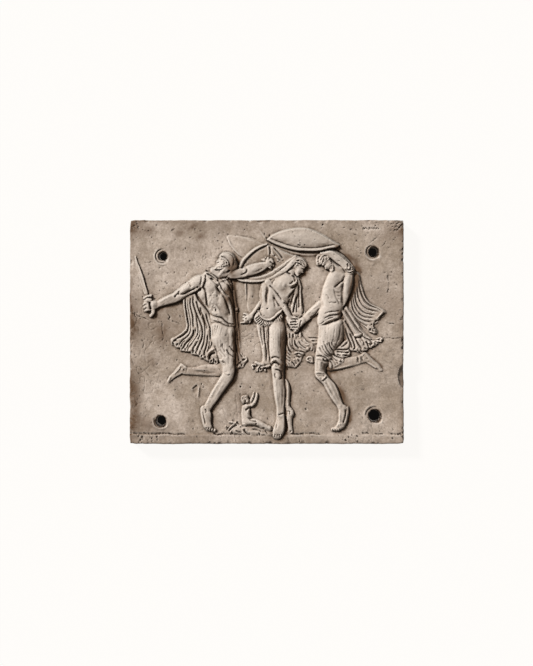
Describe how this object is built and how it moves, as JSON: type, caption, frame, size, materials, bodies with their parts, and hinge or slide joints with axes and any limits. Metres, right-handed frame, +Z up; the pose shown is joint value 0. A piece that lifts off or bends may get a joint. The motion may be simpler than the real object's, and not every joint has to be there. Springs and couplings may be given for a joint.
{
  "type": "relief wall plaque",
  "caption": "Rectangular cast plaster wall plaque with nail holes, carved in low relief with dancing warriors, raised shields and a small child.",
  "frame": {"origin": "middle of the flat back face, where the plaque rests on the wall", "axes": "+X to the right along the long side as seen from the front, +Y into the wall, +Z up; the relief faces -Y"},
  "size_m": [0.4402, 0.0324, 0.3602],
  "materials": {
    "plaster": "matte, aged grey-beige plaster with brown grime in the hollows"
  },
  "bodies": {
    "root": {"plaque": "plaster"}
  },
  "joints": []
}
